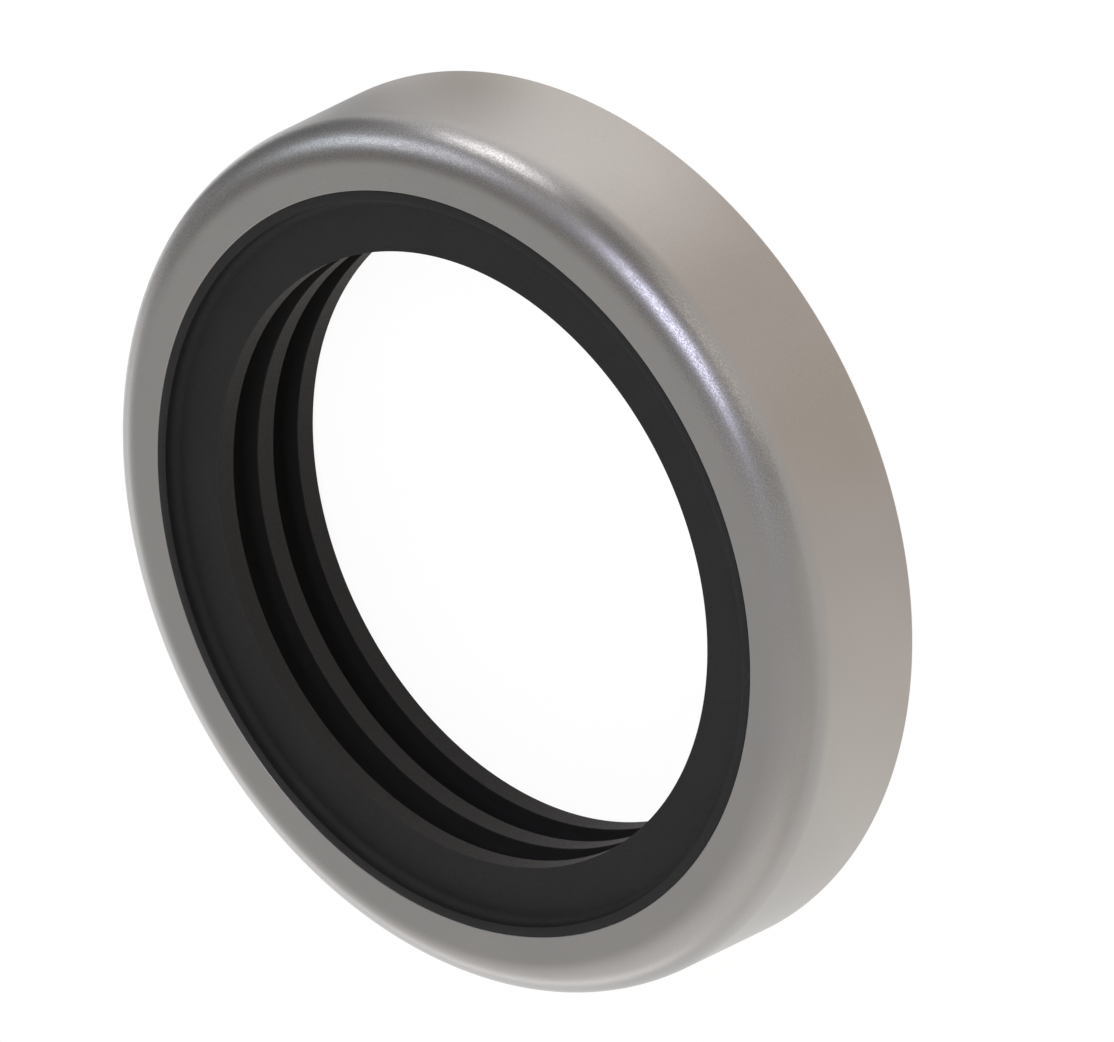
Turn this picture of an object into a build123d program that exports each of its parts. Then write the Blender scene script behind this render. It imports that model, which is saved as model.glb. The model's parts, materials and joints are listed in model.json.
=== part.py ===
from build123d import *
import math
import os

# Triple lip shaft seal: a pressed-steel case with one moulded rubber element bonded inside it.
# Millimetres. The ring's axis is Z, the flange's front face is up, and the origin is the centre
# of the plane of the case's back edge, on which the seal lies.

# Overall
lip_bore_diameter = 44.45       # the lips' lands, drawn at the shaft's size
radial_section = 9.525          # from the shaft out to the housing bore
case_width = 11.43              # back edge to the front face of the flange

# Steel case
sheet_thickness = 1.2
corner_outer_radius = 3.05      # outside of the drawn corner between wall and flange
flange_flat = 1.775             # flat ring of the flange, from the corner to its hole
edge_bevel = 0.15               # deburred outer edge of the sheet at the case's back

# Rubber element
lip_count = 3
lip_thickness = 1.6             # width of each land along the axis
groove_depth = 3.2              # from a land to the floor between two lips
groove_bevel = 0.4              # between a groove's floor and its sides
rim_skin = 0.72                 # rubber over the edge of the flange's hole, flush with the steel
face_recess = 0.92              # front face of the first lip below the rim
face_fillet_radius = 0.65       # between that face and the rim's wall
rear_setback = 0.67             # rear face of the rubber inside the case's back edge

# Derived diameters and radii
case_outer_diameter = lip_bore_diameter + 2 * radial_section
flange_hole_diameter = case_outer_diameter - 2 * (corner_outer_radius + flange_flat)
case_outer_radius = case_outer_diameter / 2
wall_inner_radius = case_outer_radius - sheet_thickness
flange_hole_radius = flange_hole_diameter / 2
rim_inner_radius = flange_hole_radius - rim_skin
lip_bore_radius = lip_bore_diameter / 2
groove_floor_radius = lip_bore_radius + groove_depth

# Derived heights
flange_back_height = case_width - sheet_thickness
face_height = case_width - face_recess

# The drawn corner's inside lies under the rubber and is a plain bevel, which leaves the middle
# of the bend as thick as the sheet
corner_inner_bevel = (2 - math.sqrt(2)) * (corner_outer_radius - sheet_thickness)

# The first lip lies flush with the front face, the last with the rear face, and the rest evenly between
lip_pitch = (face_height - rear_setback - lip_thickness) / (lip_count - 1)
groove_width = lip_pitch - lip_thickness
first_groove_height = face_height - lip_thickness - groove_width / 2

# Corners of the half-sections, radius across and height up, that are rounded or bevelled
case_back_corner = (case_outer_radius, 0)
drawn_corner_outside = (case_outer_radius, case_width)
drawn_corner_inside = (wall_inner_radius, flange_back_height)
rim_foot = (rim_inner_radius, face_height)


def corner_at(section, point):
    """The vertex of a half-section that stands at a point, or nearest to it."""
    return section.vertices().sort_by_distance(point)[0]


with BuildPart() as outer_case:
    with BuildSketch(Plane.XZ) as case_section:
        with BuildLine():
            Polyline(
                case_back_corner,
                drawn_corner_outside,
                (flange_hole_radius, case_width),
                (flange_hole_radius, flange_back_height),
                drawn_corner_inside,
                (wall_inner_radius, 0),
                close=True,
            )
        make_face()
        fillet(corner_at(case_section, drawn_corner_outside), radius=corner_outer_radius)
        chamfer(corner_at(case_section, drawn_corner_inside), length=corner_inner_bevel)
        chamfer(corner_at(case_section, case_back_corner), length=edge_bevel)
    revolve(axis=Axis.Z)

outer_case.part.label = "outer_case"


with BuildPart() as lip_element:
    with BuildSketch(Plane.XZ) as element_section:
        # Solid ring that fills the case behind the flange, with the rim that passes through its hole
        with BuildLine():
            Polyline(
                (lip_bore_radius, rear_setback),
                (wall_inner_radius, rear_setback),
                drawn_corner_inside,
                (flange_hole_radius, flange_back_height),
                (flange_hole_radius, case_width),
                (rim_inner_radius, case_width),
                rim_foot,
                (lip_bore_radius, face_height),
                close=True,
            )
        make_face()
        chamfer(corner_at(element_section, drawn_corner_inside), length=corner_inner_bevel)
        fillet(corner_at(element_section, rim_foot), radius=face_fillet_radius)

        # Grooves between the lips, open to the bore and bevelled at the floor
        for groove in range(lip_count - 1):
            groove_height = first_groove_height - groove * lip_pitch
            with Locations((lip_bore_radius, groove_height)):
                Rectangle(
                    groove_depth,
                    groove_width,
                    align=(Align.MIN, Align.CENTER),
                    mode=Mode.SUBTRACT,
                )
            for side in (-1, 1):
                side_height = groove_height + side * groove_width / 2
                floor_corner = corner_at(element_section, (groove_floor_radius, side_height))
                chamfer(floor_corner, length=groove_bevel)
    revolve(axis=Axis.Z)

lip_element.part.label = "lip_element"


os.makedirs("parts", exist_ok=True)
for piece in (outer_case, lip_element):
    export_step(piece.part, f"parts/{piece.part.label}.step")
    print(f"{piece.part.label}: {piece.part.volume:.1f} mm3, {len(piece.part.faces())} faces")
print(f"outside {case_outer_diameter:.2f} mm, flange hole {flange_hole_diameter:.2f} mm")
print(f"grooves {groove_width:.2f} mm wide at a pitch of {lip_pitch:.2f} mm")
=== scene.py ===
"""Looks of a metal-cased shaft seal with three rubber lips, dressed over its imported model.

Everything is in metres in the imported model's own frame: the ring's axis is Z, the flange's front
face is up, and the back edge of the case stands on the floor.
"""

import json
import logging
import math
from dataclasses import dataclass
from enum import Enum

import bpy
from mathutils import Matrix, Vector


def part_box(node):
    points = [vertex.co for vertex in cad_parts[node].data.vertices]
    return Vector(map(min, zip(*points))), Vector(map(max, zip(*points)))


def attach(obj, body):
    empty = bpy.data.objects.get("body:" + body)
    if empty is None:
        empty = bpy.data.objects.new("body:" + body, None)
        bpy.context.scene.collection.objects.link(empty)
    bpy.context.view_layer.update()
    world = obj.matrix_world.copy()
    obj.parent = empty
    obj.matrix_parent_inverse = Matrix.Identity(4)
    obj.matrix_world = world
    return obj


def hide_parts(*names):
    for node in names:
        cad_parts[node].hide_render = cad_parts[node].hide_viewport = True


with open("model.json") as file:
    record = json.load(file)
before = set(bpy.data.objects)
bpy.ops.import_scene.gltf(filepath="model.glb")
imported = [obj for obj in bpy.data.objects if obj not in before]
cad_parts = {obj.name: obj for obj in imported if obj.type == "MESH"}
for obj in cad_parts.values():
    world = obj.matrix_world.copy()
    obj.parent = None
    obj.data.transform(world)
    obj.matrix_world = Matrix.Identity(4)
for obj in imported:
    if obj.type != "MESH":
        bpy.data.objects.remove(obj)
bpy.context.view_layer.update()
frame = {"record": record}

log = logging.getLogger("seal")

MM = 0.001
BODY = "root"

# Most of a noise's values lie between the first two, and nearly all between the last two
NOISE_LOW = 0.35
NOISE_HIGH = 0.65
NOISE_LEAST = 0.3
NOISE_MOST = 0.7

Colour = tuple[float, float, float]
Place = tuple[float, float, float]
Socket = bpy.types.NodeSocket


class Slot(Enum):
    """The record's material slots."""

    CASE_STEEL = "case_steel"
    SEAL_RUBBER = "seal_rubber"


class Reading(Enum):
    """Which corner of a CAD node's box is read."""

    LOWEST = 0
    HIGHEST = 1


def node_extent(node: str, reading: Reading) -> Vector:
    """One corner of a CAD node's box at rest."""
    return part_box(node)[reading.value]


def mount_radius(name: str) -> float:
    """Radius of one of the record's round mounts.

    Args:
        name: The mount's name in the record.

    Returns:
        The radius in metres.
    """
    for mount in frame["record"]["mounts"]:
        if mount["name"] == name:
            return mount["dims"]["r_mm"] * MM
    raise KeyError(name)


def direction(azimuth: float, elevation: float) -> Vector:
    """Unit vector that points away from the ring.

    Args:
        azimuth: Angle round the axis from +X, in degrees.
        elevation: Angle over the floor, in degrees.

    Returns:
        The vector.
    """
    turn = math.radians(azimuth)
    rise = math.radians(elevation)
    return Vector((math.cos(turn) * math.cos(rise), math.sin(turn) * math.cos(rise), math.sin(rise)))


# Node trees


class Graph:
    """A node tree with short ways to place nodes and link them."""

    # Numbers of a Mix node's colour sockets
    MIX_FIRST = 6
    MIX_SECOND = 7
    MIX_RESULT = 2

    def __init__(self, tree: bpy.types.NodeTree) -> None:
        """Keeps the tree that the nodes go into."""
        self.tree = tree

    def node(self, kind: str, inputs: dict | None = None, **settings: object) -> bpy.types.Node:
        """Adds a node, sets its properties and feeds its inputs.

        Args:
            kind: The node's type name.
            inputs: What each input gets, by the input's name or number: a socket or a constant.
            **settings: Properties of the node.

        Returns:
            The new node.
        """
        node = self.tree.nodes.new(kind)
        for name, value in settings.items():
            setattr(node, name, value)
        for key, value in (inputs or {}).items():
            self.feed(node.inputs[key], value)
        return node

    def feed(self, socket: Socket, value: object) -> None:
        """Links an output to a socket, or writes a constant into it.

        Args:
            socket: The input to feed.
            value: Another node's output, or a constant.
        """
        if isinstance(value, bpy.types.NodeSocket):
            self.tree.links.new(value, socket)
        else:
            socket.default_value = value

    def math(self, operation: str, *values: object) -> Socket:
        """Result of a Math node on one to three values."""
        return self.node("ShaderNodeMath", dict(enumerate(values)), operation=operation).outputs[0]

    def ramp(self, value: Socket, low: float, high: float, start: float, end: float) -> Socket:
        """Value carried from the range low..high to start..end, smoothly and clamped."""
        inputs = {"Value": value, "From Min": low, "From Max": high, "To Min": start, "To Max": end}
        return self.node("ShaderNodeMapRange", inputs, interpolation_type="SMOOTHSTEP").outputs[0]

    def blend(self, share: object, first: object, second: object) -> Socket:
        """Colour between two colours.

        Args:
            share: How much of the second colour, from 0 to 1.
            first: Colour at share 0.
            second: Colour at share 1.

        Returns:
            The mixed colour.
        """
        node = self.node("ShaderNodeMix", data_type="RGBA")
        self.feed(node.inputs["Factor"], share)
        self.feed(node.inputs[self.MIX_FIRST], first)
        self.feed(node.inputs[self.MIX_SECOND], second)
        return node.outputs[self.MIX_RESULT]


def new_group(name: str, inputs: dict[str, tuple], outputs: dict[str, str]) -> tuple[Graph, dict, dict]:
    """Starts a shader node group.

    Args:
        name: The group's name.
        inputs: Socket type and default of each input, by name.
        outputs: Socket type of each output, by name.

    Returns:
        The graph, its input sockets by name, and the output node's sockets by name.
    """
    tree = bpy.data.node_groups.new(name, "ShaderNodeTree")
    for label, (kind, default) in inputs.items():
        socket = tree.interface.new_socket(label, in_out="INPUT", socket_type=kind)
        if default is not None:
            socket.default_value = default
    for label, kind in outputs.items():
        tree.interface.new_socket(label, in_out="OUTPUT", socket_type=kind)
    graph = Graph(tree)
    entry = graph.node("NodeGroupInput")
    leave = graph.node("NodeGroupOutput")
    return graph, dict(entry.outputs.items()), dict(leave.inputs.items())


class Effects:
    """Shader node groups for effects that the steel and the rubber share."""

    GRAIN_DETAIL = 1.0
    GRAIN_HARSHNESS = 0.6
    LINE_DETAIL = 3.0
    LINE_HARSHNESS = 0.65
    LINE_WAVER = 0.02
    PATCH_DETAIL = 3.0
    PATCH_HARSHNESS = 0.5
    PATCH_DISTORTION = 0.4

    def __init__(self) -> None:
        """Builds each group once."""
        self.ring_places = self._ring_places()
        self.fine_grain = self._fine_grain()
        self.tool_lines = self._tool_lines()
        self.handling = self._handling()

    def _ring_places(self) -> bpy.types.NodeTree:
        """Distance from the ring's axis and height above the floor, from a place on the surface.

        Returns:
            The group.
        """
        graph, entry, leave = new_group(
            "ring_places",
            {"Place": ("NodeSocketVector", None)},
            {"Radius": "NodeSocketFloat", "Height": "NodeSocketFloat"},
        )
        parts = graph.node("ShaderNodeSeparateXYZ", {0: entry["Place"]})
        across = graph.math("MULTIPLY", parts.outputs["X"], parts.outputs["X"])
        along = graph.math("MULTIPLY_ADD", parts.outputs["Y"], parts.outputs["Y"], across)
        graph.feed(leave["Radius"], graph.math("SQRT", along))
        graph.feed(leave["Height"], parts.outputs["Z"])
        return graph.tree

    def _fine_grain(self) -> bpy.types.NodeTree:
        """Even grain of a given size, as left by a press tool's or a mould's blasted surface.

        The sheen varies as finely as the grain, but at other places.

        Returns:
            The group.
        """
        graph, entry, leave = new_group(
            "fine_grain",
            {
                "Place": ("NodeSocketVector", None),
                "Grain Size": ("NodeSocketFloat", 0.1 * MM),
                "Harshness": ("NodeSocketFloat", self.GRAIN_HARSHNESS),
            },
            {"Grain": "NodeSocketFloat", "Sheen": "NodeSocketFloat"},
        )
        scale = graph.math("DIVIDE", 1.0, entry["Grain Size"])
        noise = graph.node(
            "ShaderNodeTexNoise",
            {
                "Vector": entry["Place"],
                "Scale": scale,
                "Detail": self.GRAIN_DETAIL,
                "Roughness": entry["Harshness"],
            },
        )
        graph.feed(leave["Grain"], noise.outputs[0])
        channels = graph.node("ShaderNodeSeparateColor", {0: noise.outputs["Color"]})
        graph.feed(leave["Sheen"], channels.outputs["Green"])
        return graph.tree

    def _tool_lines(self) -> bpy.types.NodeTree:
        """Fine lines that run round the ring, as left by a turned tool or a knife.

        Returns:
            The group.
        """
        graph, entry, leave = new_group(
            "tool_lines",
            {
                "Place": ("NodeSocketVector", None),
                "Radius": ("NodeSocketFloat", 0.0),
                "Height": ("NodeSocketFloat", 0.0),
                "Pitch": ("NodeSocketFloat", 0.1 * MM),
                "Waver": ("NodeSocketFloat", self.LINE_WAVER),
            },
            {"Lines": "NodeSocketFloat"},
        )
        waver = graph.node("ShaderNodeVectorMath", {0: entry["Place"]}, operation="SCALE")
        graph.feed(waver.inputs["Scale"], entry["Waver"])
        lines = graph.node("ShaderNodeCombineXYZ", {"X": entry["Radius"], "Y": entry["Height"]})
        place = graph.node(
            "ShaderNodeVectorMath",
            {0: lines.outputs[0], 1: waver.outputs[0]},
            operation="ADD",
        )
        scale = graph.math("DIVIDE", 1.0, entry["Pitch"])
        noise = graph.node(
            "ShaderNodeTexNoise",
            {
                "Vector": place.outputs[0],
                "Scale": scale,
                "Detail": self.LINE_DETAIL,
                "Roughness": self.LINE_HARSHNESS,
            },
        )
        graph.feed(leave["Lines"], noise.outputs[0])
        return graph.tree

    def _handling(self) -> bpy.types.NodeTree:
        """Soft uneven patches, as left by oil, handling and storage.

        Returns:
            The group.
        """
        graph, entry, leave = new_group(
            "handling",
            {
                "Place": ("NodeSocketVector", None),
                "Patch Size": ("NodeSocketFloat", 8 * MM),
            },
            {"Patches": "NodeSocketFloat"},
        )
        scale = graph.math("DIVIDE", 1.0, entry["Patch Size"])
        noise = graph.node(
            "ShaderNodeTexNoise",
            {
                "Vector": entry["Place"],
                "Scale": scale,
                "Detail": self.PATCH_DETAIL,
                "Roughness": self.PATCH_HARSHNESS,
                "Distortion": self.PATCH_DISTORTION,
            },
        )
        graph.feed(leave["Patches"], graph.ramp(noise.outputs[0], NOISE_LEAST, NOISE_MOST, 0.0, 1.0))
        return graph.tree


class Finish:
    """Start of a material: its graph, its Principled shader and the ring's places."""

    def __init__(self, name: str, effects: Effects) -> None:
        """Makes the material with its shader, and reads the place on the surface.

        Args:
            name: The material's name.
            effects: The shared node groups.
        """
        self.material = bpy.data.materials.new(name)
        self.material.use_nodes = True
        self.graph = Graph(self.material.node_tree)
        self.shader = self.material.node_tree.nodes["Principled BSDF"]
        self.place = self.graph.node("ShaderNodeTexCoord").outputs["Object"]
        ring = self.effect(effects.ring_places, {"Place": self.place})
        self.radius = ring.outputs["Radius"]
        self.height = ring.outputs["Height"]

    def effect(self, tree: bpy.types.NodeTree, inputs: dict) -> bpy.types.Node:
        """Places a shared node group and feeds its inputs.

        Args:
            tree: The node group.
            inputs: What each input gets, by name.

        Returns:
            The group's node.
        """
        node = self.graph.node("ShaderNodeGroup", node_tree=tree)
        for key, value in inputs.items():
            self.graph.feed(node.inputs[key], value)
        return node

    def relief(self, height: Socket, distance: float, below: Socket | None = None) -> Socket:
        """Normal bent by a height pattern.

        Args:
            height: The pattern, from 0 to 1.
            distance: How deep it is, in metres.
            below: A normal that this one is laid over.

        Returns:
            The bent normal.
        """
        inputs = {"Height": height, "Strength": 1.0, "Distance": distance}
        if below is not None:
            inputs["Normal"] = below
        return self.graph.node("ShaderNodeBump", inputs).outputs[0]


@dataclass(frozen=True)
class SatinSteel:
    """Satin finish of the pressed sheet-steel case.

    The grain is full on the corner, on the side of the ring where the highlights fall, at the azimuth
    set below in degrees. It is faint on the flange, on the wall and on the other side. Its roughness and
    bumps are the satin's own, and its fine specks of brighter and duller base colour are painted glints.
    """

    tint: Colour = (0.292, 0.287, 0.281)
    oiled_tint: Colour = (0.283, 0.279, 0.274)
    roughness: float = 0.34
    roughness_spread: float = 0.060
    glint_spread: float = 0.18
    grain_size: float = 0.10 * MM
    grain_depth: float = 0.0050 * MM
    flat_grain: float = 0.12
    flange_end: float = 28.8 * MM
    corner_start: float = 30.2 * MM
    wall_top: float = 8.9 * MM
    corner_low: float = 10.3 * MM
    # Azimuth in degrees of the side where the highlights fall, where the grain and its painted glints
    # are full
    highlight_side: float = -35
    side_start: float = 7 * MM
    side_full: float = 20 * MM
    line_pitch: float = 0.25 * MM
    line_depth: float = 0.0006 * MM
    patch_size: float = 9 * MM

    def grain_at_highlights(self, finish: Finish, grain: Socket) -> Socket:
        """Grain that is full on the corner where the highlights fall, on one side of the ring, and faint
        elsewhere.

        Args:
            finish: The material in the making.
            grain: Even grain, from 0 to 1.

        Returns:
            The grain, from 0 to 1 about 0.5.
        """
        graph = finish.graph
        faint = self.flat_grain
        middle = 0.5
        past_flange = graph.ramp(finish.radius, self.flange_end, self.corner_start, faint, 1.0)
        above_wall = graph.ramp(finish.height, self.wall_top, self.corner_low, faint, 1.0)
        side = {0: finish.place, 1: direction(self.highlight_side, 0.0)}
        along = graph.node("ShaderNodeVectorMath", side, operation="DOT_PRODUCT").outputs["Value"]
        on_side = graph.ramp(along, self.side_start, self.side_full, faint, 1.0)
        strength = graph.math("MULTIPLY", graph.math("MULTIPLY", past_flange, above_wall), on_side)
        return graph.math("MULTIPLY_ADD", graph.math("SUBTRACT", grain, middle), strength, middle)

    def material(self, effects: Effects) -> bpy.types.Material:
        """Builds the finish.

        Args:
            effects: The shared node groups.

        Returns:
            The material.
        """
        finish = Finish("satin_steel", effects)
        graph = finish.graph
        place = finish.place
        patches = finish.effect(effects.handling, {"Place": place, "Patch Size": self.patch_size})
        even = finish.effect(effects.fine_grain, {"Place": place, "Grain Size": self.grain_size})
        grain = self.grain_at_highlights(finish, even.outputs["Grain"])
        sheen = self.grain_at_highlights(finish, even.outputs["Sheen"])
        lines = finish.effect(
            effects.tool_lines,
            {"Place": place, "Radius": finish.radius, "Height": finish.height, "Pitch": self.line_pitch},
        )
        tint = graph.blend(patches.outputs["Patches"], (*self.tint, 1), (*self.oiled_tint, 1))
        # Painted glints: the base colour is brighter or duller in fine specks, strongest on the corner
        # where the highlights fall
        brightest = 1 + self.glint_spread
        dullest = 1 - self.glint_spread
        brightness = graph.ramp(sheen, NOISE_LOW, NOISE_HIGH, brightest, dullest)
        grained = graph.node("ShaderNodeVectorMath", {0: tint, "Scale": brightness}, operation="SCALE")
        graph.feed(finish.shader.inputs["Base Color"], grained.outputs[0])
        low = self.roughness - self.roughness_spread
        high = self.roughness + self.roughness_spread
        roughness = graph.ramp(sheen, NOISE_LOW, NOISE_HIGH, low, high)
        graph.feed(finish.shader.inputs["Roughness"], roughness)
        bent = finish.relief(lines.outputs["Lines"], self.line_depth)
        bent = finish.relief(grain, self.grain_depth, bent)
        graph.feed(finish.shader.inputs["Normal"], bent)
        finish.shader.inputs["Metallic"].default_value = 1.0
        return finish.material


@dataclass(frozen=True)
class MouldedRubber:
    """Matt black moulded rubber, with lighter lands where a knife has trimmed the lips."""

    moulded: Colour = (0.0085, 0.0084, 0.0084)
    bloomed: Colour = (0.0100, 0.0099, 0.0098)
    trimmed: Colour = (0.0158, 0.0145, 0.0130)
    # Painted light: lighter colours that lift the shade on the grooves' walls, most towards their depth
    groove_painted_light: Colour = (0.0150, 0.0147, 0.0144)
    deep_painted_light: Colour = (0.0390, 0.0380, 0.0370)
    roughness: float = 0.58
    trimmed_roughness: float = 0.70
    fillet_roughness: float = 0.68
    roughness_spread: float = 0.05
    gloss: float = 0.22
    grain_size: float = 0.16 * MM
    grain_depth: float = 0.0040 * MM
    line_pitch: float = 0.20 * MM
    line_depth: float = 0.0030 * MM
    patch_size: float = 6 * MM
    land_radius: float = 22.31 * MM
    fillet_foot: float = 25.45 * MM
    fillet_middle: float = 25.80 * MM
    face_height: float = 10.40 * MM
    rim_height: float = 11.30 * MM
    # Heights and radii where the painted light in the grooves begins and becomes full
    painted_light_top: float = 9.2 * MM
    painted_light_full: float = 8.5 * MM
    painted_light_inner: float = 22.3 * MM
    painted_light_outer: float = 23.6 * MM
    painted_light_least: float = 0.3
    deep_light_outer: float = 25.2 * MM

    def skin(self, finish: Finish, patches: Socket, on_land: Socket) -> Socket:
        """Colour of the rubber, with painted light that lifts the shade in the grooves, and the trimmed
        lands.

        Args:
            finish: The material in the making.
            patches: Soft uneven patches, from 0 to 1.
            on_land: 1 on the lips' lands and 0 elsewhere.

        Returns:
            The colour.
        """
        graph = finish.graph
        skin = graph.blend(patches, (*self.moulded, 1), (*self.bloomed, 1))
        # Painted light: below the face, the colour is lightened more the deeper a place lies in a
        # groove, lifting the shade there
        below_face = graph.ramp(finish.height, self.painted_light_full, self.painted_light_top, 1.0, 0.0)
        inward = graph.ramp(finish.radius, self.painted_light_inner, self.painted_light_outer, self.painted_light_least, 1.0)
        deep = graph.ramp(finish.radius, self.painted_light_outer, self.deep_light_outer, 0.0, 1.0)
        groove_light = graph.blend(deep, (*self.groove_painted_light, 1), (*self.deep_painted_light, 1))
        skin = graph.blend(graph.math("MULTIPLY", below_face, inward), skin, groove_light)
        return graph.blend(on_land, skin, (*self.trimmed, 1))

    def dullness(self, finish: Finish, grain: Socket, on_land: Socket) -> Socket:
        """Roughness of the rubber, which is duller on the lands and in the fillet under the rim.

        Args:
            finish: The material in the making.
            grain: Grain of the mould, from 0 to 1.
            on_land: 1 on the lips' lands and 0 elsewhere.

        Returns:
            The roughness.
        """
        graph = finish.graph
        past_face = graph.ramp(finish.radius, self.fillet_foot, self.fillet_middle, 0.0, 1.0)
        above_face = graph.math("GREATER_THAN", finish.height, self.face_height)
        below_rim = graph.math("LESS_THAN", finish.height, self.rim_height)
        in_fillet = graph.math("MULTIPLY", graph.math("MULTIPLY", past_face, above_face), below_rim)
        low = self.roughness - self.roughness_spread
        high = self.roughness + self.roughness_spread
        even = graph.ramp(grain, NOISE_LEAST, NOISE_MOST, low, high)
        on_lands = graph.math("MULTIPLY_ADD", on_land, self.trimmed_roughness - self.roughness, even)
        return graph.math("MULTIPLY_ADD", in_fillet, self.fillet_roughness - self.roughness, on_lands)

    def material(self, effects: Effects) -> bpy.types.Material:
        """Builds the finish.

        Args:
            effects: The shared node groups.

        Returns:
            The material.
        """
        finish = Finish("moulded_rubber", effects)
        graph = finish.graph
        place = finish.place
        patches = finish.effect(effects.handling, {"Place": place, "Patch Size": self.patch_size})
        grain = finish.effect(effects.fine_grain, {"Place": place, "Grain Size": self.grain_size})
        lines = finish.effect(
            effects.tool_lines,
            {"Place": place, "Radius": finish.radius, "Height": finish.height, "Pitch": self.line_pitch},
        )
        on_land = graph.math("LESS_THAN", finish.radius, self.land_radius)
        skin = self.skin(finish, patches.outputs["Patches"], on_land)
        dullness = self.dullness(finish, grain.outputs["Grain"], on_land)
        graph.feed(finish.shader.inputs["Base Color"], skin)
        graph.feed(finish.shader.inputs["Roughness"], dullness)
        bent = finish.relief(lines.outputs["Lines"], self.line_depth)
        bent = finish.relief(grain.outputs["Grain"], self.grain_depth, bent)
        graph.feed(finish.shader.inputs["Normal"], bent)
        finish.shader.inputs["Specular IOR Level"].default_value = self.gloss
        return finish.material


# Turned shapes


@dataclass(frozen=True)
class Corner:
    """Corner of a half-section."""

    across: float
    up: float
    rounding: float = 0.0


class TurnedShape:
    """Geometry Nodes tree that rounds a half-section's corners and turns it round the axis."""

    SEGMENTS = "Segments"
    ARC_STEP = "Arc Step"
    LEAST_STEPS = "Least Steps"
    SHARP_ANGLE = "Sharp Angle"
    FINISH = "Finish"

    CIRCLE_RADIUS = 1.0
    ARC_STEP_LENGTH = 0.12 * MM
    FEWEST_ARC_STEPS = 5.0
    SHARP_FROM = math.radians(35)

    def __init__(self) -> None:
        """Builds the tree with its named inputs."""
        tree = bpy.data.node_groups.new("turned_shape", "GeometryNodeTree")
        tree.interface.new_socket("Section", in_out="INPUT", socket_type="NodeSocketGeometry")
        tree.interface.new_socket(self.SEGMENTS, in_out="INPUT", socket_type="NodeSocketInt")
        tree.interface.new_socket(self.ARC_STEP, in_out="INPUT", socket_type="NodeSocketFloat")
        tree.interface.new_socket(self.LEAST_STEPS, in_out="INPUT", socket_type="NodeSocketFloat")
        tree.interface.new_socket(self.SHARP_ANGLE, in_out="INPUT", socket_type="NodeSocketFloat")
        tree.interface.new_socket(self.FINISH, in_out="INPUT", socket_type="NodeSocketMaterial")
        tree.interface.new_socket("Ring", in_out="OUTPUT", socket_type="NodeSocketGeometry")
        self.tree = tree
        self._place_nodes(Graph(tree))

    def _place_nodes(self, graph: Graph) -> None:
        """Rounds the corners, turns the section, marks sharp edges and sets the finish.

        Args:
            graph: The tree's graph.
        """
        entry = graph.node("NodeGroupInput").outputs
        rounding = graph.node("GeometryNodeInputRadius").outputs[0]
        wanted = graph.math("DIVIDE", rounding, entry[self.ARC_STEP])
        steps = graph.math("MAXIMUM", wanted, entry[self.LEAST_STEPS])
        fillet = graph.node("GeometryNodeFilletCurve", mode="POLY")
        graph.feed(fillet.inputs["Curve"], entry["Section"])
        graph.feed(fillet.inputs["Count"], steps)
        graph.feed(fillet.inputs["Radius"], rounding)

        circle = graph.node("GeometryNodeCurvePrimitiveCircle", {"Radius": self.CIRCLE_RADIUS})
        graph.feed(circle.inputs["Resolution"], entry[self.SEGMENTS])
        sweep = graph.node(
            "GeometryNodeCurveToMesh",
            {"Curve": circle.outputs[0], "Profile Curve": fillet.outputs[0]},
        )
        angle = graph.node("GeometryNodeInputMeshEdgeAngle").outputs["Unsigned Angle"]
        is_sharp = graph.node("FunctionNodeCompare", {0: angle, 1: entry[self.SHARP_ANGLE]})
        smooth = graph.node(
            "GeometryNodeSetShadeSmooth",
            {"Geometry": sweep.outputs[0], "Selection": is_sharp.outputs[0], "Shade Smooth": False},
            domain="EDGE",
        )
        whole = graph.node("GeometryNodeRealizeInstances", {"Geometry": smooth.outputs[0]})
        dressed = graph.node("GeometryNodeSetMaterial", {"Geometry": whole.outputs[0]})
        graph.feed(dressed.inputs["Material"], entry[self.FINISH])
        leave = graph.node("NodeGroupOutput")
        graph.feed(leave.inputs[0], dressed.outputs[0])

    def turn(
        self, name: str, section: list[Corner], segments: int, finish: bpy.types.Material
    ) -> bpy.types.Object:
        """Turns one section into a plain mesh.

        Args:
            name: The piece's name.
            section: Corners of the closed half-section, in order.
            segments: How many steps there are round the axis.
            finish: The piece's material.

        Returns:
            The piece, with its place in its mesh.
        """
        settings = {
            self.SEGMENTS: segments,
            self.ARC_STEP: self.ARC_STEP_LENGTH,
            self.LEAST_STEPS: self.FEWEST_ARC_STEPS,
            self.SHARP_ANGLE: self.SHARP_FROM,
            self.FINISH: finish,
        }
        curve = bpy.data.curves.new(name + "_section", "CURVE")
        curve.dimensions = "3D"
        spline = curve.splines.new("POLY")
        spline.points.add(len(section) - 1)
        spline.use_cyclic_u = True
        for point, corner in zip(spline.points, section):
            point.co = (corner.across - self.CIRCLE_RADIUS, -corner.up, 0.0, 1.0)
            point.radius = corner.rounding
        holder = bpy.data.objects.new(name + "_section", curve)
        bpy.context.scene.collection.objects.link(holder)
        modifier = holder.modifiers.new("turned", "NODES")
        modifier.node_group = self.tree
        for item in self.tree.interface.items_tree:
            if item.in_out == "INPUT" and item.name in settings:
                modifier[item.identifier] = settings[item.name]
        mesh = plain_mesh(holder)
        mesh.name = name
        bpy.data.objects.remove(holder)
        bpy.data.curves.remove(curve)
        piece = bpy.data.objects.new(name, mesh)
        bpy.context.scene.collection.objects.link(piece)
        return piece


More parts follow.
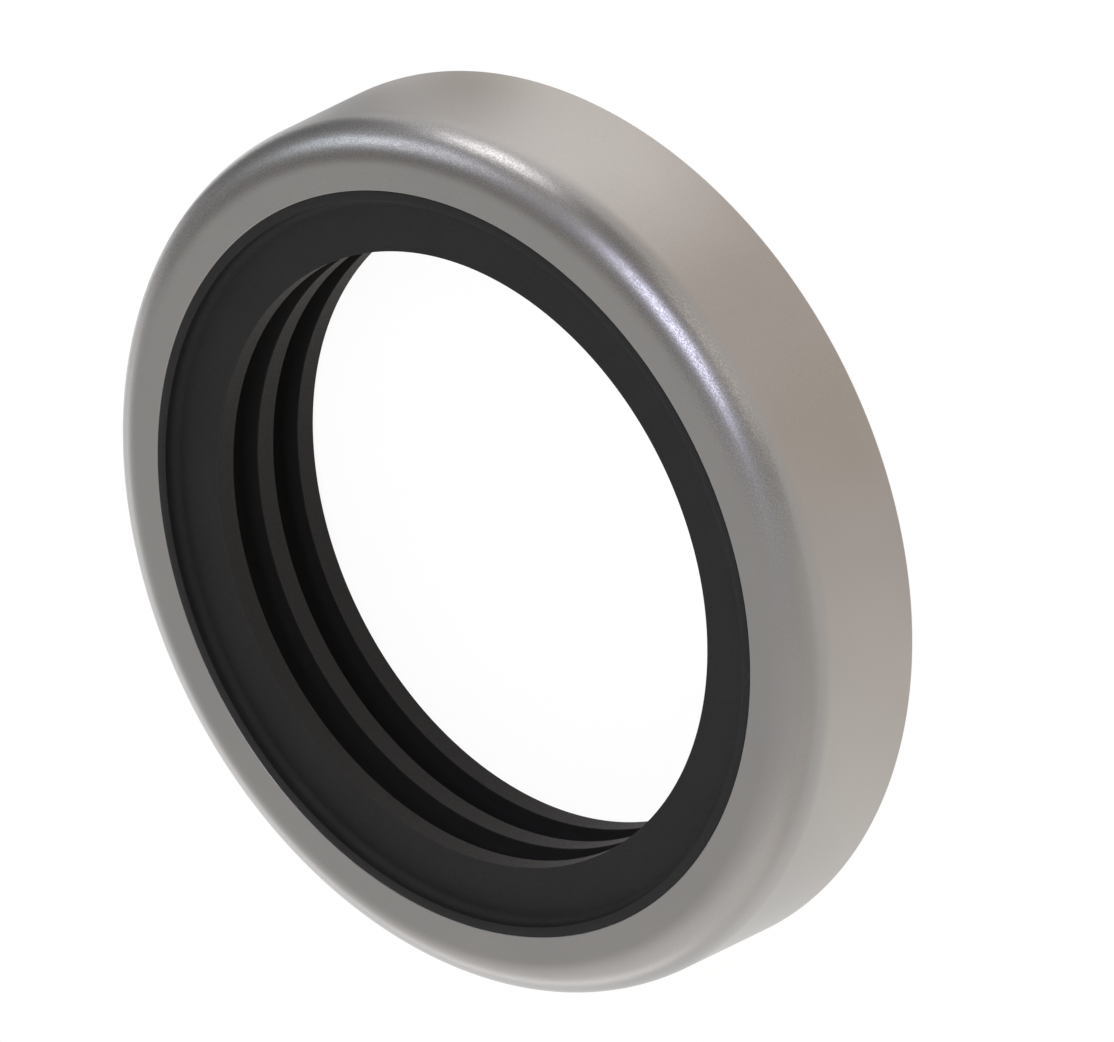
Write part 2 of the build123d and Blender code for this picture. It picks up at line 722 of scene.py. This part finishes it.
def plain_mesh(holder: bpy.types.Object) -> bpy.types.Mesh:
    """Mesh that an object's modifiers make, with nothing live on it."""
    depsgraph = bpy.context.evaluated_depsgraph_get()
    return bpy.data.meshes.new_from_object(holder.evaluated_get(depsgraph), depsgraph=depsgraph)


def settle_normals(piece: bpy.types.Object) -> None:
    """Lets the wide faces rule the shading, so that flats stay flat beside their roundings.

    Args:
        piece: The piece, whose mesh is replaced.
    """
    wide_faces_only = 100
    modifier = piece.modifiers.new("wide_faces_rule", "WEIGHTED_NORMAL")
    modifier.keep_sharp = True
    modifier.weight = wide_faces_only
    mesh = plain_mesh(piece)
    piece.modifiers.clear()
    piece.data = mesh


@dataclass
class SteelCase:
    """The pressed-steel cup: wall, drawn corner and flange with its hole."""

    sheet: float = 1.2 * MM
    corner_outer: float = 3.05 * MM
    flange_flat: float = 1.775 * MM
    back_edge_outer: float = 0.16 * MM
    back_edge_inner: float = 0.10 * MM
    hole_edge: float = 0.06 * MM
    segments: int = 384

    def __post_init__(self) -> None:
        """Reads the outside from the CAD node."""
        highest = node_extent("outer_case", Reading.HIGHEST)
        self.outer_radius = mount_radius("housing_fit")
        self.front = highest.z
        self.wall_inner = self.outer_radius - self.sheet
        self.hole_radius = self.outer_radius - self.corner_outer - self.flange_flat
        self.corner_inner = self.corner_outer - self.sheet

    def section(self) -> list[Corner]:
        """Half-section of the sheet.

        Returns:
            Its corners, in order.
        """
        return [
            Corner(self.outer_radius, 0.0, self.back_edge_outer),
            Corner(self.outer_radius, self.front, self.corner_outer),
            Corner(self.hole_radius, self.front, self.hole_edge),
            Corner(self.hole_radius, self.front - self.sheet),
            Corner(self.wall_inner, self.front - self.sheet, self.corner_inner),
            Corner(self.wall_inner, 0.0, self.back_edge_inner),
        ]

    def build(self, turned: TurnedShape, finish: bpy.types.Material) -> bpy.types.Object:
        """Builds the case.

        Args:
            turned: The tree that turns a section.
            finish: The case's material.

        Returns:
            The piece.
        """
        piece = turned.turn("case_shell", self.section(), self.segments, finish)
        settle_normals(piece)
        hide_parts("outer_case")
        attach(piece, BODY)
        return piece


@dataclass
class LipElement:
    """The rubber moulding: rim, recessed face and three lips with two grooves between them."""

    case: SteelCase
    lip_count: int = 3
    lip_thickness: float = 1.6 * MM
    lip_edge: float = 0.04 * MM
    groove_depth: float = 3.2 * MM
    groove_corner: float = 0.5 * MM
    rim_skin: float = 0.72 * MM
    rim_edge: float = 0.02 * MM
    face_recess: float = 0.92 * MM
    face_fillet: float = 0.65 * MM
    wall_skin: float = 0.04 * MM
    wall_fillet: float = 0.30 * MM
    segments: int = 384

    def __post_init__(self) -> None:
        """Reads the bore and the heights from the CAD model."""
        self.bore_radius = mount_radius("shaft_bore")
        self.rear = node_extent("lip_element", Reading.LOWEST).z
        self.face = self.case.front - self.face_recess
        self.rim_inner = self.case.hole_radius - self.rim_skin
        self.pitch = (self.face - self.rear - self.lip_thickness) / (self.lip_count - 1)

    def grooves(self) -> list[Corner]:
        """Grooves between the lips.

        Returns:
            Their corners, from the first lip down to the last.
        """
        floor = self.bore_radius + self.groove_depth
        corners = []
        for lip in range(self.lip_count - 1):
            top = self.face - self.lip_thickness - lip * self.pitch
            bottom = top - (self.pitch - self.lip_thickness)
            corners.append(Corner(self.bore_radius, top, self.lip_edge))
            corners.append(Corner(floor, top, self.groove_corner))
            corners.append(Corner(floor, bottom, self.groove_corner))
            corners.append(Corner(self.bore_radius, bottom, self.lip_edge))
        return corners

    def section(self) -> list[Corner]:
        """Half-section of the rubber.

        Returns:
            Its corners, in order.
        """
        flange_back = self.case.front - self.case.sheet
        skin_radius = self.case.wall_inner - self.wall_skin
        skin_end = self.rear - self.wall_fillet - self.wall_skin
        return [
            Corner(self.bore_radius, self.rear, self.lip_edge),
            Corner(skin_radius, self.rear, self.wall_fillet),
            Corner(skin_radius, skin_end),
            Corner(self.case.wall_inner, skin_end),
            Corner(self.case.wall_inner, flange_back, self.case.corner_inner),
            Corner(self.case.hole_radius, flange_back),
            Corner(self.case.hole_radius, self.case.front, self.case.hole_edge),
            Corner(self.rim_inner, self.case.front, self.rim_edge),
            Corner(self.rim_inner, self.face, self.face_fillet),
            Corner(self.bore_radius, self.face, self.lip_edge),
            *self.grooves(),
        ]

    def build(self, turned: TurnedShape, finish: bpy.types.Material) -> bpy.types.Object:
        """Builds the rubber element.

        Args:
            turned: The tree that turns a section.
            finish: The rubber's material.

        Returns:
            The piece.
        """
        piece = turned.turn("lip_ring", self.section(), self.segments, finish)
        settle_normals(piece)
        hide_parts("lip_element")
        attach(piece, BODY)
        return piece


# Studio


@dataclass(frozen=True)
class Softbox:
    """A rectangular studio lamp that looks at the ring.

    The level is how bright a white card that faces the lamp would be by this lamp alone.
    """

    name: str
    azimuth: float
    elevation: float
    width: float
    height: float
    level: float
    colour: Colour
    distance: float = 0.5

    def build(self, target: Vector) -> bpy.types.Object:
        """Hangs the lamp.

        Args:
            target: The point that the lamp looks at.

        Returns:
            The lamp.
        """
        light = bpy.data.lights.new(self.name, "AREA")
        light.shape = "RECTANGLE"
        light.size = self.width
        light.size_y = self.height
        # A lamp of power P gives a card at distance d that faces it a brightness of P / (pi d)^2
        light.energy = self.level * math.pi**2 * self.distance**2
        light.color = self.colour
        lamp = bpy.data.objects.new(self.name, light)
        bpy.context.scene.collection.objects.link(lamp)
        outward = direction(self.azimuth, self.elevation)
        lamp.location = target + outward * self.distance
        lamp.rotation_euler = outward.to_track_quat("Z", "Y").to_euler()
        return lamp


@dataclass(frozen=True)
class LightPool:
    """A soft painted pool of light or shade on the floor, brighter or darker than the rest; only
    reflections show it.

    The gain is what its centre adds to the floor's glow. It fades to nothing at the patch's reach.
    """

    azimuth: float
    distance: float
    spread: float
    gain: Colour

    def reach(self) -> float:
        """How far from its centre the patch ends."""
        return self.spread * 2


@dataclass(frozen=True)
class Cloth:
    """Grey cloth swept round the ring's axis, which the camera doesn't see.

    A cloth that doesn't shade meets reflections alone.
    """

    name: str
    azimuth_from: float
    azimuth_to: float
    profile: tuple[tuple[float, float], ...]
    colour: Colour
    shades: bool = True
    columns: int = 24

    def build(self) -> bpy.types.Object:
        """Hangs or lays the cloth.

        Returns:
            The cloth.
        """
        corners = []
        for column in range(self.columns + 1):
            azimuth = self.azimuth_from + (self.azimuth_to - self.azimuth_from) * column / self.columns
            outward = direction(azimuth, 0.0)
            corners.extend((outward.x * across, outward.y * across, up) for across, up in self.profile)
        rows = len(self.profile)
        panels = []
        for column in range(self.columns):
            for row in range(rows - 1):
                first = column * rows + row
                panels.append((first, first + 1, first + rows + 1, first + rows))
        piece = stage_piece(self.name, corners, panels)
        piece.visible_camera = False
        piece.visible_diffuse = self.shades
        piece.visible_shadow = self.shades
        graph = bare_material(piece, self.name)
        matt = graph.node("ShaderNodeBsdfDiffuse", {"Color": (*self.colour, 1)})
        graph.node("ShaderNodeOutputMaterial", {"Surface": matt.outputs[0]})
        return piece


def dome_profile(radius: float, top: float, rows: int = 10) -> tuple[tuple[float, float], ...]:
    """Places across and up on an arc from the floor to an elevation in degrees."""
    rises = [math.radians(top * row / rows) for row in range(rows + 1)]
    return tuple((radius * math.cos(rise), radius * math.sin(rise)) for rise in rises)


def flat_profile(inner: float, outer: float) -> tuple[tuple[float, float], ...]:
    """Places across and up on a line that lies just over the floor."""
    lift = 0.5 * MM
    return ((inner, lift), (outer, lift))


@dataclass
class Studio:
    """White floor, grey cloths, pale surroundings and lamps.

    The camera sees the floor glow in floor_white, and the steel sees it glow in floor_glow. For both,
    the glow has the share floor_glow_share, and the rest is matt and takes the ring's shadow.
    """

    target: Vector
    floor_side: float = 3.0
    floor_colour: float = 0.82
    floor_white: float = 1.05
    floor_glow: Colour = (1.24, 1.23, 1.22)
    floor_glow_share: float = 0.9
    pools: tuple[LightPool, ...] = (
        LightPool(azimuth=-75, distance=34 * MM, spread=32 * MM, gain=(0.05, -0.09, -0.19)),
        LightPool(azimuth=-46, distance=36 * MM, spread=9 * MM, gain=(0.70, 0.70, 0.70)),
        LightPool(azimuth=-29, distance=50 * MM, spread=10 * MM, gain=(0.72, 0.70, 0.70)),
        LightPool(azimuth=-56, distance=66 * MM, spread=12 * MM, gain=(-0.42, -0.42, -0.42)),
        LightPool(azimuth=-20, distance=33 * MM, spread=4.2 * MM, gain=(-0.32, -0.32, -0.32)),
        LightPool(azimuth=-146, distance=37 * MM, spread=10 * MM, gain=(0.27, 0.24, 0.18)),
        LightPool(azimuth=-177, distance=53 * MM, spread=12 * MM, gain=(0.17, 0.14, 0.10)),
        LightPool(azimuth=-127, distance=36 * MM, spread=6.5 * MM, gain=(0.12, 0.08, 0.08)),
        LightPool(azimuth=-96, distance=36 * MM, spread=5 * MM, gain=(-0.08, -0.09, -0.14)),
        LightPool(azimuth=-105, distance=60 * MM, spread=13 * MM, gain=(-0.18, -0.19, -0.20)),
        LightPool(azimuth=-142, distance=60 * MM, spread=8 * MM, gain=(-0.16, -0.16, -0.16)),
        LightPool(azimuth=1, distance=36 * MM, spread=7 * MM, gain=(-0.60, -0.57, -0.55)),
        LightPool(azimuth=26, distance=39 * MM, spread=8 * MM, gain=(0.50, 0.50, 0.47)),
        LightPool(azimuth=48, distance=68 * MM, spread=10 * MM, gain=(-0.30, -0.30, -0.30)),
        LightPool(azimuth=122, distance=84 * MM, spread=32 * MM, gain=(0.17, 0.17, 0.19)),
        LightPool(azimuth=93, distance=70 * MM, spread=20 * MM, gain=(0.42, 0.42, 0.42)),
        LightPool(azimuth=80, distance=43 * MM, spread=9 * MM, gain=(0.30, 0.30, 0.30)),
        LightPool(azimuth=56, distance=48 * MM, spread=10 * MM, gain=(0.42, 0.42, 0.42)),
        LightPool(azimuth=173, distance=62 * MM, spread=14 * MM, gain=(0.17, 0.16, 0.15)),
    )
    cloths: tuple[Cloth, ...] = (
        Cloth(
            "half_dome",
            azimuth_from=-105,
            azimuth_to=73,
            profile=dome_profile(radius=0.9, top=84),
            colour=(0.535, 0.518, 0.492),
        ),
        Cloth(
            "near_card",
            azimuth_from=4,
            azimuth_to=42,
            profile=flat_profile(inner=0.046, outer=0.5),
            colour=(0.27, 0.275, 0.27),
            shades=False,
        ),
        Cloth(
            "far_card",
            azimuth_from=42,
            azimuth_to=60,
            profile=flat_profile(inner=0.085, outer=0.5),
            colour=(0.38, 0.38, 0.38),
            shades=False,
        ),
    )
    sky: float = 0.82
    sky_colour: Colour = (1.0, 0.985, 0.965)
    lamps: tuple[Softbox, ...] = (
        Softbox(
            "key", azimuth=-57.5, elevation=54.5, width=0.24, height=0.18, level=0.322,
            colour=(0.77, 0.78, 1.0),
        ),
        Softbox(
            "tail", azimuth=-84, elevation=33, width=0.22, height=0.14, level=0.017,
            colour=(1.0, 0.94, 0.94),
        ),
        Softbox(
            "side", azimuth=-8, elevation=8, width=0.19, height=0.18, level=0.222,
            colour=(0.98, 0.95, 0.98),
        ),
        Softbox(
            "third", azimuth=33.5, elevation=25, width=0.11, height=0.14, level=0.057,
            colour=(0.79, 0.89, 1.0),
        ),
        Softbox(
            "fill", azimuth=19, elevation=36.8, width=0.20, height=0.18, level=0.101,
            colour=(0.86, 0.88, 1.0),
        ),
        Softbox(
            "lift", azimuth=24, elevation=13, width=0.40, height=0.10, level=0.015,
            colour=(0.72, 0.86, 1.0),
        ),
        Softbox(
            "after", azimuth=52, elevation=17, width=0.16, height=0.14, level=0.004,
            colour=(0.80, 0.93, 1.0),
        ),
        Softbox(
            "soft", azimuth=-17, elevation=38, width=0.20, height=0.18, level=0.018,
            colour=(1.0, 0.93, 0.82),
        ),
        Softbox(
            "rise", azimuth=57, elevation=66, width=0.22, height=0.13, level=0.0062,
            colour=(1.0, 0.95, 0.90),
        ),
        Softbox(
            "over", azimuth=-5, elevation=62, width=0.18, height=0.12, level=0.006,
            colour=(0.96, 0.97, 1.0),
        ),
        Softbox(
            "rear", azimuth=90, elevation=13, width=0.30, height=0.11, level=0.016,
            colour=(1.0, 0.97, 0.95),
        ),
        Softbox(
            "blush", azimuth=140, elevation=60, width=0.44, height=0.26, level=0.006,
            colour=(1.0, 0.25, 0.70),
        ),
        Softbox(
            "warm", azimuth=-155, elevation=12, width=0.70, height=0.34, level=0.045,
            colour=(1.0, 0.66, 0.36),
        ),
        Softbox(
            "low", azimuth=-75, elevation=11, width=0.36, height=0.19, level=0.100,
            colour=(1.0, 0.92, 0.84),
        ),
        Softbox(
            "strip", azimuth=104, elevation=4, width=0.72, height=0.07, level=0.118,
            colour=(0.98, 0.97, 1.0),
        ),
        Softbox(
            "back", azimuth=138, elevation=20, width=0.62, height=0.42, level=0.152,
            colour=(1.0, 0.91, 0.88),
        ),
        Softbox(
            "wing", azimuth=162, elevation=34, width=0.76, height=0.50, level=0.058,
            colour=(1.0, 0.93, 0.90),
        ),
    )

    def build(self) -> None:
        """Puts up the floor, the cloths, the surroundings and the lamps."""
        self.floor()
        self.surroundings()
        for cloth in self.cloths:
            cloth.build()
            log.info("cloth %s of colour %s", cloth.name, cloth.colour)
        for lamp in self.lamps:
            lamp.build(self.target)
            log.info("lamp %s at level %.2f", lamp.name, lamp.level)

    def pooled_glow(self, graph: Graph) -> Socket:
        """The floor's brightness in the steel, with what each pool adds to it.

        Args:
            graph: Graph of the floor's material.

        Returns:
            The brightness, as a colour.
        """
        place = graph.node("ShaderNodeTexCoord").outputs["Object"]
        glow = self.floor_glow
        for pool in self.pools:
            centre = direction(pool.azimuth, 0.0) * pool.distance
            away = graph.node("ShaderNodeVectorMath", {0: place, 1: centre}, operation="DISTANCE")
            fall = graph.ramp(away.outputs["Value"], 0.0, pool.reach(), 1.0, 0.0)
            added = {0: fall, 1: pool.gain, 2: glow}
            glow = graph.node("ShaderNodeVectorMath", added, operation="MULTIPLY_ADD").outputs[0]
        return glow

    def floor(self) -> bpy.types.Object:
        """White floor that keeps a faint shadow of the ring and shows in the steel.

        Returns:
            The floor.
        """
        half = self.floor_side / 2
        corners = [(-half, -half, 0), (half, -half, 0), (half, half, 0), (-half, half, 0)]
        piece = stage_piece("floor", corners, [(0, 1, 2, 3)])
        graph = bare_material(piece, "white_floor")
        tone = self.floor_colour
        white = self.floor_white
        matt = graph.node("ShaderNodeBsdfDiffuse", {"Color": (tone, tone, tone, 1)})
        path = graph.node("ShaderNodeLightPath").outputs
        tint = graph.blend(path["Is Camera Ray"], self.pooled_glow(graph), (white, white, white, 1))
        glow = graph.node("ShaderNodeEmission", {"Color": tint, "Strength": 1.0})
        seen = graph.math("MAXIMUM", path["Is Camera Ray"], path["Is Glossy Ray"])
        share = graph.math("MULTIPLY", seen, self.floor_glow_share)
        layers = {0: share, 1: matt.outputs[0], 2: glow.outputs[0]}
        both = graph.node("ShaderNodeMixShader", layers)
        graph.node("ShaderNodeOutputMaterial", {"Surface": both.outputs[0]})
        return piece

    def surroundings(self) -> None:
        """Even pale light from all round."""
        world = bpy.data.worlds.new("surroundings")
        world.use_nodes = True
        graph = Graph(world.node_tree)
        graph.tree.nodes.clear()
        light = graph.node(
            "ShaderNodeBackground",
            {"Color": (*self.sky_colour, 1), "Strength": self.sky},
        )
        graph.node("ShaderNodeOutputWorld", {"Surface": light.outputs[0]})
        bpy.context.scene.world = world


def stage_piece(name: str, corners: list[Place], faces: list[tuple[int, ...]]) -> bpy.types.Object:
    """Flat-faced piece of the studio, which isn't part of the object.

    Args:
        name: The piece's name.
        corners: Places of its corners.
        faces: Corners of each face, by number.

    Returns:
        The piece.
    """
    mesh = bpy.data.meshes.new(name)
    mesh.from_pydata(corners, [], faces)
    piece = bpy.data.objects.new(name, mesh)
    bpy.context.scene.collection.objects.link(piece)
    return piece


def bare_material(piece: bpy.types.Object, name: str) -> Graph:
    """Gives a piece a material with no nodes in it yet.

    Args:
        piece: The piece.
        name: The material's name.

    Returns:
        The material's graph.
    """
    material = bpy.data.materials.new(name)
    material.use_nodes = True
    material.node_tree.nodes.clear()
    piece.data.materials.append(material)
    return Graph(material.node_tree)


@dataclass
class Viewpoint:
    """The photograph's view: parallel, from the front of the ring, and rolled.

    The elevation is over the flange's plane. The axis angle is where the ring's axis points in the
    picture, anticlockwise from the right. The centre is that of the flange's plane, in pixels from
    the picture's upper left.
    """

    front: float
    outer_radius: float
    elevation: float = 42.828
    axis_angle: float = 205.865
    image_width: int = 1114
    image_height: int = 1042
    radius_in_pixels: float = 464.82
    centre_column: float = 453.64
    centre_row: float = 564.11
    distance: float = 0.6

    def build(self) -> bpy.types.Object:
        """Makes the camera and gives it to the scene.

        Returns:
            The camera.
        """
        pixel = self.outer_radius / self.radius_in_pixels
        data = bpy.data.cameras.new("camera")
        data.type = "ORTHO"
        data.ortho_scale = self.image_width * pixel
        elevation = math.radians(self.elevation)
        back = Vector((0.0, -math.cos(elevation), math.sin(elevation)))
        level_right = Vector((1.0, 0.0, 0.0))
        level_up = back.cross(level_right)
        turn = math.radians(90.0 - self.axis_angle)
        right = math.cos(turn) * level_right + math.sin(turn) * level_up
        up = back.cross(right)
        aim = Vector((0.0, 0.0, self.front))
        aim += right * (self.image_width / 2 - self.centre_column) * pixel
        aim += up * (self.centre_row - self.image_height / 2) * pixel
        camera = bpy.data.objects.new("camera", data)
        bpy.context.scene.collection.objects.link(camera)
        place = aim + back * self.distance
        axes = Matrix((right, up, back)).transposed().to_4x4()
        camera.matrix_world = Matrix.Translation(place) @ axes
        bpy.context.scene.camera = camera
        return camera


def report(piece: bpy.types.Object) -> None:
    """Logs one finished piece."""
    triangles = sum(len(face.vertices) - 2 for face in piece.data.polygons)
    log.info("%s: %d triangles", piece.name, triangles)


def main() -> None:
    """Builds the pieces, the studio and the camera in order."""
    logging.basicConfig(level=logging.INFO, format="%(name)s: %(message)s")
    bpy.context.scene.view_settings.view_transform = "Standard"
    effects = Effects()
    turned = TurnedShape()

    case = SteelCase()
    report(case.build(turned, SatinSteel().material(effects)))
    element = LipElement(case)
    report(element.build(turned, MouldedRubber().material(effects)))

    Studio(target=Vector((0.0, 0.0, case.front / 2))).build()
    Viewpoint(front=case.front, outer_radius=case.outer_radius).build()


if __name__ == "__main__":
    main()
